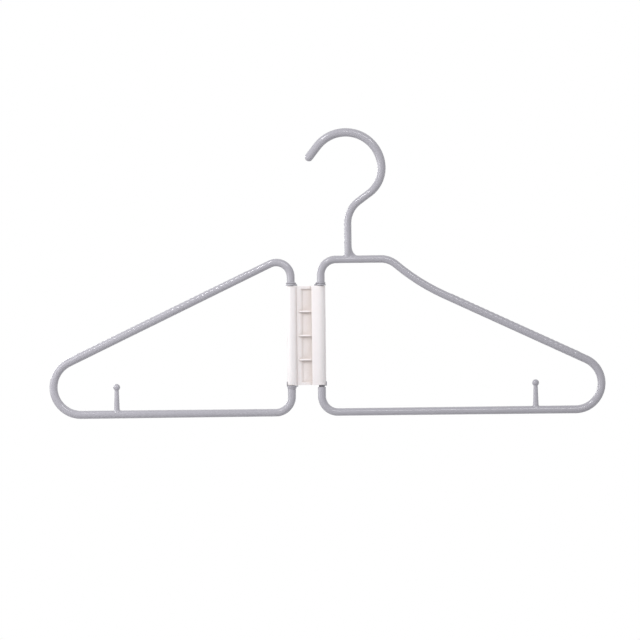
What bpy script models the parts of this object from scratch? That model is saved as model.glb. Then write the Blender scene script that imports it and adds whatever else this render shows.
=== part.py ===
"""Folding travel hanger, in metres, +Z up, front facing -Y.

Three mouldings: a wing that carries the hook, a plain wing, and a white hinge block whose
two sleeves snap onto a thin spindle of each wing from behind. The origin is the point
inside the top of the hook that rests on a clothes rail.
"""

import math

import bmesh
import bpy
from mathutils import Vector

# Hinge block
HINGE_HEIGHT = 0.0742
ROD_SPACING = 0.0225
SPINDLE_RADIUS = 0.0022
RUNNING_CLEARANCE = 0.0003
SLEEVE_WALL = 0.0008
SLOT_WIDTH = 0.0034
SLOT_LEAD_IN = 0.0005
WEB_BACK = 0.0010
SHELF_FRONT = 0.0013
FLANK_REACH = 0.0047
BROAD_FRONT = 0.0037
BROAD_INSET = 0.0021
BROAD_DRAFT = 0.0003
POCKET_WIDTH = 0.0080
POCKET_FLOOR = 0.0010
RIB_THICKNESS = 0.0011
RIB_SPACING = 0.0181
RIB_COUNT = 3
END_WALL = 0.0023

# Collars and neck that keep the hinge block on its spindles, and the stop lugs
COLLAR_HEIGHT = 0.0031
COLLAR_LIP = 0.0005
COLLAR_TIP = 0.0014
NECK_GAP = 0.0012
NECK_EDGE = 0.0004
COLLAR_HEIGHT_SHARES = (0.0, 0.42, 0.5, 0.84, 1.0)
COLLAR_SWELL_SHARES = (1.0, 1.0, 0.58, 0.4, 0.0)
COLLAR_TIP_SHARES = (1.0, 0.55, 0.45, 0.1, 0.0)
LUG_WIDTH = 0.0015
LUG_HEIGHT = 0.0026

# Outline that both wings share
BOTTOM_DROP = 0.05765
ROD_RADIUS = 0.0030
ROD_FADE = 0.0150
INNER_BAR_RADIUS = 0.0028

# Plain wing
PLAIN_END_REACH = 0.1581
PLAIN_END_BEND = 0.02065
PLAIN_TOP_BEND = 0.0108
PLAIN_BOTTOM_BEND = 0.0122
PLAIN_ARM_SLOPE = math.radians(25.5)
PLAIN_OUTER_BAR_RADIUS = 0.00305
PLAIN_PEG_REACH = 0.1314
PLAIN_BEAD_LEAD = 0.0160

# Hook wing
HOOK_END_REACH = 0.1901
HOOK_END_BEND = 0.0197
HOOK_TOP_RISE = 0.0568
HOOK_TOP_BEND = 0.0114
HOOK_BOTTOM_BEND = 0.0120
HOOK_ARM_SLOPE = math.radians(25.05)
SHOULDER_REACH = 0.0517
SHOULDER_BEND = 0.0175
SHOULDER_SLOPE = math.radians(40.7)
HOOK_OUTER_BAR_RADIUS = 0.0030
HOOK_PEG_REACH = 0.1603
HOOK_BEAD_LEAD = 0.0010

# Hook
STEM_REACH = 0.0207
STEM_RADIUS = 0.0028
STEM_HEIGHT = 0.0269
STEM_BEND = 0.0206
STEM_LEAN = math.radians(53.6)
LEAN_LENGTH = 0.0101
BLEND_BEND = 0.0228
BLEND_TURN = math.radians(46.5)
HOOK_BEND = 0.0269
HOOK_TURN = math.radians(149.3)
HOOK_TIP_LENGTH = 0.0100
CROWN_RADIUS = 0.0032
ROOT_BEND = 0.0105
ROOT_RADIUS = 0.0021
ROOT_FLARE = 0.0026
ROOT_INSET = 0.0001

# Grip beads along the upper side of both arms
BEAD_PITCH = 0.0041
BEAD_HEIGHT = 0.0003
BEAD_TAIL = 0.0065
BEAD_STATION_SHARES = (0.0, 0.3, 0.7)
BEAD_HEIGHT_SHARES = (0.0, 1.0, 1.0)

# Strap pegs on the bottom bars
PEG_HEIGHT = 0.0199
PEG_BALL_RADIUS = 0.0026
PEG_NECK_RADIUS = 0.0016
PEG_FOOT_RADIUS = 0.0021
PEG_FILLET = 0.0012

# Facets
BAR_SIDES = 16
PEG_SIDES = 12
SLEEVE_SIDES = 32
BEND_STEP = math.radians(11.5)
CAP_STEPS = 3
OVERRUN = 0.0010

BACK = Vector((0.0, 1.0, 0.0))
RIGHT = Vector((1.0, 0.0, 0.0))
UP = Vector((0.0, 0.0, 1.0))


def heading_vector(heading):
    """Unit direction in the hanger's plane, measured from +X towards +Z."""
    return Vector((math.cos(heading), 0.0, math.sin(heading)))


def right_of(heading):
    """Unit direction to the right of a line of travel, seen from the front."""
    return heading_vector(heading - math.pi / 2)


def bend_headings(start, turn):
    """Headings along a bend: even steps, and one wherever the bar runs level or upright."""
    quarter = math.pi / 2
    low, high = sorted((start, start + turn))
    first = math.floor(round(low / quarter, 6)) + 1
    last = math.ceil(round(high / quarter, 6))
    marks = [low] + [quarter * count for count in range(first, last)] + [high]
    headings = [low]
    for near, far in zip(marks, marks[1:]):
        steps = math.ceil((far - near) / BEND_STEP)
        headings += [near + (far - near) * step / steps for step in range(1, steps + 1)]
    if turn < 0:
        headings.reverse()
    return headings[1:]


class Route:
    """A bar's centreline as straights and bends: each stop is a point and a heading."""

    def __init__(self, start, heading):
        self.point = start.copy()
        self.heading = heading
        self.stops = [(start.copy(), heading)]

    def straight(self, length):
        self.point = self.point + heading_vector(self.heading) * length
        self.stops.append((self.point.copy(), self.heading))

    def bend(self, radius, turn):
        """Turn left by a positive angle or right by a negative one."""
        side = math.copysign(1.0, turn)
        centre = self.point - right_of(self.heading) * radius * side
        for heading in bend_headings(self.heading, turn):
            self.point = centre + right_of(heading) * radius * side
            self.stops.append((self.point.copy(), heading))
        self.heading += turn


def fillet_length(radius, turn):
    """How far a bend of this turn cuts back each side of its corner."""
    return radius * math.tan(abs(turn) / 2)


def round_ring(radius, sides=BAR_SIDES):
    """Reach of a round section at each of its corners."""
    return [radius] * sides


def oval_ring(half_width, half_depth):
    """Reach of an oval section at each of its corners."""
    angles = [2 * math.pi * side / BAR_SIDES for side in range(BAR_SIDES)]
    return [half_width * half_depth / math.hypot(half_depth * math.cos(angle),
                                                 half_width * math.sin(angle))
            for angle in angles]


def teardrop_ring(radius, tip):
    """Reach of a collar section: round, with a point on the side of the hinge block."""
    half_angle = math.acos(radius / (radius + tip))
    reaches = []
    for side in range(BAR_SIDES):
        angle = abs(math.remainder(2 * math.pi * side / BAR_SIDES, 2 * math.pi))
        in_point = angle < half_angle
        reaches.append(radius / math.cos(half_angle - angle) if in_point else radius)
    return reaches


def beaded_ring(radius, height):
    """Reach of a bar section that is raised over its outer side."""
    angles = [2 * math.pi * side / BAR_SIDES for side in range(BAR_SIDES)]
    return [radius + height * max(math.cos(angle), 0.0) for angle in angles]


def ring_at(point, outward, depth, reaches):
    """Corner points of one section, counted from the outward side towards depth."""
    corners = []
    for side, reach in enumerate(reaches):
        angle = 2 * math.pi * side / len(reaches)
        corners.append(point + (outward * math.cos(angle) + depth * math.sin(angle)) * reach)
    return corners


def bar_rings(stops, radius_at):
    """Round sections of a bar at each stop of its route."""
    return [ring_at(point, right_of(heading), BACK, round_ring(radius_at(point)))
            for point, heading in stops]


def loft(rings, closed):
    """Skin a row of sections into one body, as a closed loop or with capped ends."""
    bm = bmesh.new()
    loops = [[bm.verts.new(corner) for corner in ring] for ring in rings]
    pairs = list(zip(loops, loops[1:]))
    if closed:
        pairs.append((loops[-1], loops[0]))
    else:
        bm.faces.new(loops[0])
        bm.faces.new(reversed(loops[-1]))
    for near, far in pairs:
        for side in range(len(near)):
            following = (side + 1) % len(near)
            bm.faces.new((near[side], far[side], far[following], near[following]))
    bmesh.ops.recalc_face_normals(bm, faces=bm.faces)
    return bm


def prism(outline, bottom, top):
    """Extrude an outline of X, Y points between two heights."""
    bm = bmesh.new()
    base = bm.faces.new([bm.verts.new((x, y, bottom)) for x, y in outline])
    extruded = bmesh.ops.extrude_face_region(bm, geom=[base])
    raised = [item for item in extruded["geom"] if isinstance(item, bmesh.types.BMVert)]
    bmesh.ops.translate(bm, verts=raised, vec=UP * (top - bottom))
    bmesh.ops.recalc_face_normals(bm, faces=bm.faces)
    return bm


def rectangle(one_x, other_x, front_y, back_y):
    """Outline of a rectangle in X and Y, between two sides in either order."""
    left = min(one_x, other_x)
    right = max(one_x, other_x)
    return [(left, front_y), (right, front_y), (right, back_y), (left, back_y)]


def arc(centre_x, half_width, half_depth, start, end, steps):
    """Points in X and Y on a round or oval arc, centred in the plane of the bars."""
    angles = [start + (end - start) * step / steps for step in range(steps + 1)]
    return [(centre_x + half_width * math.cos(a), half_depth * math.sin(a)) for a in angles]


def joined(bodies):
    """Put several separate bodies into one bmesh."""
    result = bmesh.new()
    for bm in bodies:
        mesh = bpy.data.meshes.new("body")
        bm.to_mesh(mesh)
        bm.free()
        result.from_mesh(mesh)
        bpy.data.meshes.remove(mesh)
    return result


def make_object(name, bm):
    """Turn a bmesh into an object at the world origin."""
    mesh = bpy.data.meshes.new(name)
    bm.to_mesh(mesh)
    bm.free()
    made = bpy.data.objects.new(name, mesh)
    bpy.context.scene.collection.objects.link(made)
    return made


def combine(base, operation, *tools):
    """Join or cut a body with each tool in turn, and keep only the result."""
    for bm in tools:
        tool = make_object("tool", bm)
        modifier = base.modifiers.new(operation.title(), "BOOLEAN")
        modifier.operation = operation
        modifier.solver = "EXACT"
        modifier.object = tool
        depsgraph = bpy.context.evaluated_depsgraph_get()
        result = bpy.data.meshes.new_from_object(base.evaluated_get(depsgraph))
        base.modifiers.remove(modifier)
        spent = base.data
        base.data = result
        result.name = base.name
        bpy.data.meshes.remove(spent)
        bpy.data.objects.remove(tool)


def plastic(name, colour, roughness):
    """Glossy moulded plastic of one colour."""
    material = bpy.data.materials.new(name)
    material.use_nodes = True
    shader = material.node_tree.nodes["Principled BSDF"]
    shader.inputs["Base Color"].default_value = (*colour, 1.0)
    shader.inputs["Roughness"].default_value = roughness
    shader.inputs["Metallic"].default_value = 0.0
    return material


def dress(piece, material, pivot, parent=None):
    """Shade a piece, give it its material and put its origin on its pivot."""
    mesh = piece.data
    mesh.shade_smooth()
    mesh.set_sharp_from_angle(angle=math.radians(40))
    mesh.materials.clear()
    mesh.materials.append(material)
    for vertex in mesh.vertices:
        vertex.co -= pivot
    piece.location = pivot
    if parent is not None:
        piece.parent = parent
        piece.location = pivot - parent.location


def lead_to_bowl(route):
    """Take the hook's centreline from the top of its stem to the start of its bowl."""
    route.bend(STEM_BEND, -STEM_LEAN)
    route.straight(LEAN_LENGTH)
    route.bend(BLEND_BEND, BLEND_TURN)


def bowl_centre():
    """Centre of the hook's round bowl, measured from the foot of its stem."""
    route = Route(UP * STEM_HEIGHT, math.pi / 2)
    lead_to_bowl(route)
    return route.point - right_of(route.heading) * HOOK_BEND


def hook_route(start):
    """Centreline of the hook, swept out of the top bar, up the stem and to the free tip."""
    route = Route(start + RIGHT * ROOT_BEND, math.pi)
    route.bend(ROOT_BEND, -math.pi / 2)
    route.straight(STEM_HEIGHT - ROOT_BEND)
    lead_to_bowl(route)
    route.bend(HOOK_BEND, HOOK_TURN)
    route.straight(HOOK_TIP_LENGTH)
    return route


# Places that follow from the sizes above, counted from the point under the crown
STEM_FOOT = -(bowl_centre() + UP * (HOOK_BEND - CROWN_RADIUS))
HOOK_ROD_X = STEM_FOOT.x - STEM_REACH
PLAIN_ROD_X = HOOK_ROD_X - ROD_SPACING
HINGE_X = (HOOK_ROD_X + PLAIN_ROD_X) / 2
HINGE_Z = STEM_FOOT.z - HOOK_TOP_RISE
HINGE_TOP = HINGE_Z + HINGE_HEIGHT / 2
HINGE_BOTTOM = HINGE_Z - HINGE_HEIGHT / 2
BOTTOM_Z = HINGE_Z - BOTTOM_DROP
BORE_RADIUS = SPINDLE_RADIUS + RUNNING_CLEARANCE
SLEEVE_RADIUS = BORE_RADIUS + SLEEVE_WALL
COLLAR_RADIUS = SLEEVE_RADIUS + COLLAR_LIP
UPPER_COLLAR_FACE = HINGE_TOP + RUNNING_CLEARANCE
LOWER_COLLAR_FACE = HINGE_BOTTOM - RUNNING_CLEARANCE


def collar_sections(face_z, height):
    """Sections from a spindle's end through a collar and its ear to the full rod."""
    sections = [(face_z, round_ring(SPINDLE_RADIUS))]
    shares = zip(COLLAR_HEIGHT_SHARES, COLLAR_SWELL_SHARES, COLLAR_TIP_SHARES)
    for height_share, swell_share, tip_share in shares:
        radius = ROD_RADIUS + (COLLAR_RADIUS - ROD_RADIUS) * swell_share
        sections.append((face_z + height * height_share,
                         teardrop_ring(radius, COLLAR_TIP * tip_share)))
    return sections


def neck_sections():
    """Sections from a spindle's lower end, past a short open neck, to the full rod."""
    top = LOWER_COLLAR_FACE - NECK_GAP
    return [(top, round_ring(SPINDLE_RADIUS)),
            (top, round_ring(ROD_RADIUS - NECK_EDGE)),
            (top - NECK_EDGE, round_ring(ROD_RADIUS))]


def rod_rings(rod_x, heading, lower):
    """Sections along a wing's rod: its lower end, the spindle and the upper collar."""
    sections = lower[::-1] + collar_sections(UPPER_COLLAR_FACE, COLLAR_HEIGHT)
    if heading < 0:
        sections.reverse()
    return [ring_at(Vector((rod_x, 0.0, z)), right_of(heading), BACK, reaches)
            for z, reaches in sections]


def lug(rod_x, side):
    """Stop lug on the outer side of a spindle's lower end."""
    outline = rectangle(rod_x + side * SPINDLE_RADIUS / 2, rod_x + side * COLLAR_RADIUS,
                        -LUG_WIDTH / 2, LUG_WIDTH / 2)
    return prism(outline, LOWER_COLLAR_FACE - RUNNING_CLEARANCE, HINGE_BOTTOM + LUG_HEIGHT)


def arm_rings(start, heading, length, lead, radius_at):
    """Sections along an arm, from its inner end outwards: beads, then a plain tail."""
    count = int((length - lead - BEAD_TAIL) / BEAD_PITCH)
    first = length - BEAD_TAIL - count * BEAD_PITCH
    outer_side = UP - heading_vector(heading) * math.sin(heading)
    outer_side.normalize()
    sections = []
    for bead in range(count):
        for station_share, height_share in zip(BEAD_STATION_SHARES, BEAD_HEIGHT_SHARES):
            reach = first + (bead + station_share) * BEAD_PITCH
            point = start + heading_vector(heading) * reach
            sections.append((point, beaded_ring(radius_at(point), BEAD_HEIGHT * height_share)))
    last = start + heading_vector(heading) * (length - BEAD_TAIL)
    sections.append((last, round_ring(radius_at(last))))
    return [ring_at(point, outer_side, BACK, reaches) for point, reaches in sections]


def wing_radius(rod_x, end_reach, outer_radius):
    """Bar radius: full on the rod, slimmer past its bends, then growing to the outer end."""
    def radius_at(point):
        reach = abs(point.x - rod_x)
        growth = (outer_radius - INNER_BAR_RADIUS) * min(reach / end_reach, 1.0)
        fullness = (ROD_RADIUS - INNER_BAR_RADIUS) * max(1 - reach / ROD_FADE, 0.0)
        return INNER_BAR_RADIUS + growth + fullness
    return radius_at


def plain_wing_rings():
    """Sections round the plain wing: up the rod, out along the arm, back below."""
    radius_at = wing_radius(PLAIN_ROD_X, PLAIN_END_REACH, PLAIN_OUTER_BAR_RADIUS)
    top_turn = math.pi / 2 + PLAIN_ARM_SLOPE
    arm_heading = math.pi + PLAIN_ARM_SLOPE
    end_centre = Vector((PLAIN_ROD_X - PLAIN_END_REACH, 0.0, BOTTOM_Z + PLAIN_END_BEND))
    arm_end = end_centre + right_of(arm_heading) * PLAIN_END_BEND
    corner_gap = (PLAIN_ROD_X - arm_end.x) / math.cos(PLAIN_ARM_SLOPE)
    top_cut = fillet_length(PLAIN_TOP_BEND, top_turn)
    arm_length = corner_gap - top_cut
    arm_start = arm_end - heading_vector(arm_heading) * arm_length
    rod_top = arm_end.z + corner_gap * math.sin(PLAIN_ARM_SLOPE) - top_cut

    top = Route(Vector((PLAIN_ROD_X, 0.0, rod_top)), math.pi / 2)
    top.bend(PLAIN_TOP_BEND, top_turn)
    end = Route(arm_end, arm_heading)
    end.bend(PLAIN_END_BEND, math.pi - PLAIN_ARM_SLOPE)
    end.straight(PLAIN_ROD_X - PLAIN_BOTTOM_BEND - end.point.x)
    end.bend(PLAIN_BOTTOM_BEND, math.pi / 2)
    return (rod_rings(PLAIN_ROD_X, math.pi / 2, collar_sections(LOWER_COLLAR_FACE, -COLLAR_HEIGHT))
            + bar_rings(top.stops, radius_at)
            + arm_rings(arm_start, arm_heading, arm_length, PLAIN_BEAD_LEAD, radius_at)
            + bar_rings(end.stops, radius_at))


def hook_wing_rings():
    """Sections round the hook wing: down the rod, out below, back along the arm."""
    radius_at = wing_radius(HOOK_ROD_X, HOOK_END_REACH, HOOK_OUTER_BAR_RADIUS)
    arm_heading = math.pi - HOOK_ARM_SLOPE
    end_centre = Vector((HOOK_ROD_X + HOOK_END_REACH, 0.0, BOTTOM_Z + HOOK_END_BEND))
    arm_end = end_centre + right_of(arm_heading) * HOOK_END_BEND
    shoulder = Vector((HOOK_ROD_X + SHOULDER_REACH, 0.0, STEM_FOOT.z))
    run = arm_end.x - shoulder.x
    drop = shoulder.z - arm_end.z
    knee_run = (drop - run * math.tan(HOOK_ARM_SLOPE)) / (
        math.tan(SHOULDER_SLOPE) - math.tan(HOOK_ARM_SLOPE))
    knee = shoulder + Vector((knee_run, 0.0, -knee_run * math.tan(SHOULDER_SLOPE)))
    ease_turn = SHOULDER_SLOPE - HOOK_ARM_SLOPE
    ease_cut = (knee - shoulder).length - fillet_length(SHOULDER_BEND, SHOULDER_SLOPE)
    arm_length = (arm_end - knee).length - ease_cut
    arm_start = arm_end + heading_vector(arm_heading) * arm_length

    bottom = Route(Vector((HOOK_ROD_X, 0.0, BOTTOM_Z + HOOK_BOTTOM_BEND)), -math.pi / 2)
    bottom.bend(HOOK_BOTTOM_BEND, math.pi / 2)
    bottom.straight(end_centre.x - bottom.point.x)
    bottom.bend(HOOK_END_BEND, math.pi - HOOK_ARM_SLOPE)
    top = Route(arm_start, arm_heading)
    top.bend(ease_cut / math.tan(ease_turn / 2), -ease_turn)
    top.bend(SHOULDER_BEND, SHOULDER_SLOPE)
    top.straight(top.point.x - HOOK_ROD_X - HOOK_TOP_BEND)
    top.bend(HOOK_TOP_BEND, math.pi / 2)
    arm = arm_rings(arm_start, -HOOK_ARM_SLOPE, arm_length, HOOK_BEAD_LEAD, radius_at)
    return (rod_rings(HOOK_ROD_X, -math.pi / 2, neck_sections())
            + bar_rings(bottom.stops, radius_at)
            + arm[::-1]
            + bar_rings(top.stops, radius_at))


def hook_radius_at(point):
    """Hook radius: slim where it leaves the top bar, full from the bowl's centre up."""
    height = point.z - STEM_FOOT.z
    if height < ROOT_BEND:
        root_share = max(height / ROOT_BEND, 0.0)
        return ROOT_RADIUS + (STEM_RADIUS - ROOT_RADIUS) * math.sqrt(root_share)
    growth_start = STEM_HEIGHT + STEM_BEND
    share = (height - growth_start) / (bowl_centre().z - growth_start)
    return STEM_RADIUS + (CROWN_RADIUS - STEM_RADIUS) * min(max(share, 0.0), 1.0)


def hook_rings():
    """Sections up the hook, which thickens past its lean and ends in a round tip."""
    route = hook_route(STEM_FOOT)
    rings = bar_rings(route.stops, hook_radius_at)
    tip, heading = route.stops[-1]
    for step in range(1, CAP_STEPS + 1):
        angle = math.pi / 2 * step / (CAP_STEPS + 1)
        centre = tip + heading_vector(heading) * CROWN_RADIUS * math.sin(angle)
        rings.append(ring_at(centre, right_of(heading), BACK,
                             round_ring(CROWN_RADIUS * math.cos(angle))))
    return rings


def root_post_rings():
    """Sections of the post that carries the stem straight down, flared like a fillet."""
    slim = STEM_RADIUS - ROOT_INSET
    flare = [math.pi / 2 * step / CAP_STEPS for step in range(1, CAP_STEPS + 1)]
    sections = [(INNER_BAR_RADIUS + ROOT_FLARE * (1 - math.cos(angle)),
                 slim + ROOT_FLARE * (1 - math.sin(angle))) for angle in flare]
    sections.insert(0, (0.0, sections[0][1]))
    sections.append((ROOT_BEND, slim))
    rings = []
    for height, half_width in sections:
        half_depth = ROOT_RADIUS + (slim - ROOT_RADIUS) * height / ROOT_BEND
        rings.append(ring_at(STEM_FOOT + UP * height, RIGHT, BACK,
                             oval_ring(half_width, half_depth)))
    return rings


def peg_rings(x, bar_radius):
    """Sections of a strap peg: sunk foot, fillet, tapered neck and ball."""
    bar_top = BOTTOM_Z + bar_radius
    ball_centre = bar_top + PEG_HEIGHT - PEG_BALL_RADIUS
    neck_angle = math.acos(PEG_NECK_RADIUS / PEG_BALL_RADIUS)
    neck_top = ball_centre - PEG_BALL_RADIUS * math.sin(neck_angle)
    profile = [(BOTTOM_Z, PEG_FOOT_RADIUS + PEG_FILLET / 2),
               (bar_top, PEG_FOOT_RADIUS + PEG_FILLET / 2),
               (bar_top + PEG_FILLET, PEG_FOOT_RADIUS),
               (neck_top, PEG_NECK_RADIUS)]
    steps = 2 * CAP_STEPS
    for step in range(1, steps):
        angle = -neck_angle + (math.pi / 2 + neck_angle) * step / steps
        profile.append((ball_centre + PEG_BALL_RADIUS * math.sin(angle),
                        PEG_BALL_RADIUS * math.cos(angle)))
    return [ring_at(Vector((x, 0.0, z)), RIGHT, BACK, round_ring(radius, PEG_SIDES))
            for z, radius in profile]


def make_plain_wing():
    """The wing without a hook: one swept bar with spindle, collars, beads and a peg."""
    wing = make_object("plain_wing", loft(plain_wing_rings(), closed=True))
    peg = peg_rings(PLAIN_ROD_X - PLAIN_PEG_REACH, PLAIN_OUTER_BAR_RADIUS)
    combine(wing, "UNION", loft(peg, closed=False), lug(PLAIN_ROD_X, -1))
    return wing


def make_hook_wing():
    """The wing that carries the hook, moulded in one piece with it."""
    wing = make_object("hook_wing", loft(hook_wing_rings(), closed=True))
    peg = peg_rings(HOOK_ROD_X + HOOK_PEG_REACH, HOOK_OUTER_BAR_RADIUS)
    combine(wing, "UNION",
            loft(root_post_rings(), closed=False), loft(hook_rings(), closed=False),
            loft(peg, closed=False), lug(HOOK_ROD_X, 1))
    return wing


def hinge_outline():
    """Section of the hinge block, which has a flat back and a stepped front.

    On the right a broad front runs out over the sleeve. On the left the sleeve's flank
    falls to a low shelf, and the pockets lie between the shelf and the broad front's step.
    """
    shelf_angle = math.asin(SHELF_FRONT / SLEEVE_RADIUS)
    back_angle = math.asin(WEB_BACK / SLEEVE_RADIUS)
    step_x = HINGE_X + POCKET_WIDTH / 2
    step = [(step_x, -SHELF_FRONT), (step_x + BROAD_DRAFT, -BROAD_FRONT)]
    broad = arc(HOOK_ROD_X - BROAD_INSET, BROAD_INSET + SLEEVE_RADIUS, BROAD_FRONT,
                -math.pi / 2, 0.0, SLEEVE_SIDES // 4)
    right_sleeve = arc(HOOK_ROD_X, SLEEVE_RADIUS, SLEEVE_RADIUS,
                       0.0, math.pi - back_angle, SLEEVE_SIDES // 2)
    left_sleeve = arc(PLAIN_ROD_X, SLEEVE_RADIUS, SLEEVE_RADIUS,
                      back_angle, 3 * math.pi / 2, SLEEVE_SIDES * 3 // 4)
    flank = arc(PLAIN_ROD_X, FLANK_REACH, SLEEVE_RADIUS,
                3 * math.pi / 2, 2 * math.pi - shelf_angle, SLEEVE_SIDES // 4)
    return step + broad + right_sleeve[1:] + left_sleeve + flank[1:]


def keyhole(rod_x):
    """Section of a bore and of the slot behind it that lets the spindle snap in."""
    half_slot = SLOT_WIDTH / 2
    neck_angle = math.asin(half_slot / BORE_RADIUS)
    bore = arc(rod_x, BORE_RADIUS, BORE_RADIUS,
               math.pi / 2 + neck_angle, 5 * math.pi / 2 - neck_angle, SLEEVE_SIDES)
    lip_y = SLEEVE_RADIUS * math.cos(math.asin(half_slot / SLEEVE_RADIUS)) - SLOT_LEAD_IN
    mouth_y = SLEEVE_RADIUS + OVERRUN
    mouth = half_slot + (mouth_y - lip_y)
    return bore + [(rod_x + half_slot, lip_y), (rod_x + mouth, mouth_y),
                   (rod_x - mouth, mouth_y), (rod_x - half_slot, lip_y)]


def wall_heights():
    """Bottom and top of each wall between the pockets: end wall, ribs and end wall."""
    first_rib = HINGE_Z - RIB_SPACING * (RIB_COUNT - 1) / 2
    walls = [(HINGE_BOTTOM, HINGE_BOTTOM + END_WALL)]
    for index in range(RIB_COUNT):
        centre = first_rib + RIB_SPACING * index
        walls.append((centre - RIB_THICKNESS / 2, centre + RIB_THICKNESS / 2))
    walls.append((HINGE_TOP - END_WALL, HINGE_TOP))
    return walls


def make_hinge_block():
    """The white block: its section, then the pockets between the ribs, and the bores."""
    block = make_object("hinge_block", prism(hinge_outline(), HINGE_BOTTOM, HINGE_TOP))
    walls = wall_heights()
    floor_y = WEB_BACK - POCKET_FLOOR
    opening = rectangle(HINGE_X - POCKET_WIDTH / 2, HINGE_X + POCKET_WIDTH / 2,
                        -(SHELF_FRONT + OVERRUN), floor_y)
    pockets = [prism(opening, below[1], above[0]) for below, above in zip(walls, walls[1:])]
    bores = [prism(keyhole(rod_x), HINGE_BOTTOM - OVERRUN, HINGE_TOP + OVERRUN)
             for rod_x in (PLAIN_ROD_X, HOOK_ROD_X)]
    notch_front = -(LUG_WIDTH / 2 + RUNNING_CLEARANCE)
    notches = [prism(rectangle(rod_x, rod_x + side * (SLEEVE_RADIUS + OVERRUN),
                               notch_front, SLEEVE_RADIUS + OVERRUN),
                     HINGE_BOTTOM - OVERRUN, HINGE_BOTTOM + LUG_HEIGHT + RUNNING_CLEARANCE)
               for rod_x, side in ((PLAIN_ROD_X, -1), (HOOK_ROD_X, 1))]
    combine(block, "DIFFERENCE", joined(pockets), joined(bores), joined(notches))
    return block


def main():
    for leftover in list(bpy.data.objects):
        bpy.data.objects.remove(leftover)
    grey = (0.45, 0.44, 0.50)
    white = (0.86, 0.84, 0.83)
    hook_wing = make_hook_wing()
    hinge_block = make_hinge_block()
    plain_wing = make_plain_wing()
    dress(hook_wing, plastic("hook_wing_plastic", grey, 0.28), Vector())
    dress(hinge_block, plastic("hinge_plastic", white, 0.35),
          Vector((HOOK_ROD_X, 0.0, HINGE_Z)), hook_wing)
    dress(plain_wing, plastic("plain_wing_plastic", grey, 0.28),
          Vector((PLAIN_ROD_X, 0.0, HINGE_Z)), hinge_block)


main()
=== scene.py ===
"""Folding travel hanger: finished mouldings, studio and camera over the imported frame.

Metres, +Z up, front facing -Y. The origin is the point inside the top of the hook that rests
on a clothes rail.
"""

import math

import bmesh
import bpy
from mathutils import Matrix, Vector


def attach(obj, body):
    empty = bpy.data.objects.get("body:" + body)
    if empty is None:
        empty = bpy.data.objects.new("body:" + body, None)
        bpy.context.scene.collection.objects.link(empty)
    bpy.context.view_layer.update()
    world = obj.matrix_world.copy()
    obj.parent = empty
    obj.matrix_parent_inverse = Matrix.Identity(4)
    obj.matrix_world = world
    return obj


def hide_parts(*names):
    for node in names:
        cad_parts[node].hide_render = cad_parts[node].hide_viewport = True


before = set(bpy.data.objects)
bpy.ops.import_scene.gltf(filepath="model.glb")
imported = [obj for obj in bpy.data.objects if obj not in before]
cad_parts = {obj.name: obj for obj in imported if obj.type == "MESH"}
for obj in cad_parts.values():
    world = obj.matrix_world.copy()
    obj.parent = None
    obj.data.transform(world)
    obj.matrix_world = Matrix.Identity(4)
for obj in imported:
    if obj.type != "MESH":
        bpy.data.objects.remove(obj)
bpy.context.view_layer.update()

# Hinge block
HINGE_HEIGHT = 0.0742
ROD_SPACING = 0.0225
SPINDLE_RADIUS = 0.0022
RUNNING_CLEARANCE = 0.0003
SLEEVE_WALL = 0.0008
SLOT_WIDTH = 0.0034
SLOT_LEAD_IN = 0.0005
WEB_BACK = 0.0010
SHELF_FRONT = 0.0013
SHELF_FALL = 0.0003
FLANK_REACH = 0.0047
BROAD_FRONT = 0.0037
BROAD_INSET = 0.0021
BROAD_DRAFT = 0.0003
POCKET_WIDTH = 0.0080
POCKET_FLOOR = 0.0010
POCKET_LEAN = 0.0016
RIB_THICKNESS = 0.0011
RIB_SPACING = 0.0181
RIB_COUNT = 3
RIB_RISE = 0.0007
RIB_RUN_OUT = 0.0016
END_WALL = 0.0023
BLOCK_EDGE_RADIUS = 0.00028

# Collars and neck that keep the hinge block on its spindles, and the stop lugs. Each collar has
# a row of sections from the spindle to the rod, by shares of its height, its swell and its ear.
COLLAR_HEIGHT = 0.0031
COLLAR_LIP = 0.0005
COLLAR_TIP = 0.0014
NECK_GAP = 0.0012
NECK_EDGE = 0.0004
NECK_ROUND_STEPS = 6
EAR_ROUNDING = 0.05
UPPER_HEIGHT_SHARES = (0.0, 0.03, 0.08, 0.30, 0.36, 0.40, 0.46, 0.50, 0.56, 0.74, 0.80, 0.86, 1.0)
UPPER_SWELL_SHARES = (0.86, 0.97, 1.0, 1.0, 0.92, 0.55, 0.45, 0.66, 0.78, 0.70, 0.46, 0.06, 0.0)
UPPER_TIP_SHARES = (0.94, 1.0, 0.98, 0.80, 0.74, 0.62, 0.52, 0.46, 0.40, 0.24, 0.16, 0.04, 0.0)
LOWER_HEIGHT_SHARES = (0.0, 0.03, 0.08, 0.22, 0.27, 0.32, 0.40, 0.70, 0.76, 0.80, 0.86, 1.0)
LOWER_SWELL_SHARES = (0.86, 0.97, 1.0, 1.0, 0.86, 0.46, 0.40, 0.40, 0.26, -0.14, -0.10, 0.0)
LOWER_TIP_SHARES = (0.94, 1.0, 0.98, 0.80, 0.60, 0.34, 0.24, 0.10, 0.05, 0.0, 0.0, 0.0)
LUG_WIDTH = 0.0015
LUG_HEIGHT = 0.0026

# Outline that both wings share
BOTTOM_DROP = 0.05765
ROD_RADIUS = 0.0030
ROD_FADE = 0.0150
INNER_BAR_RADIUS = 0.0028
PARTING_RIDGE = 0.00003

# Plain wing
PLAIN_END_REACH = 0.1581
PLAIN_END_BEND = 0.02065
PLAIN_TOP_BEND = 0.0108
PLAIN_BOTTOM_BEND = 0.0122
PLAIN_ARM_SLOPE = math.radians(25.5)
PLAIN_OUTER_BAR_RADIUS = 0.00305
PLAIN_PEG_REACH = 0.1314
PLAIN_BEAD_LEAD = 0.0160

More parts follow.
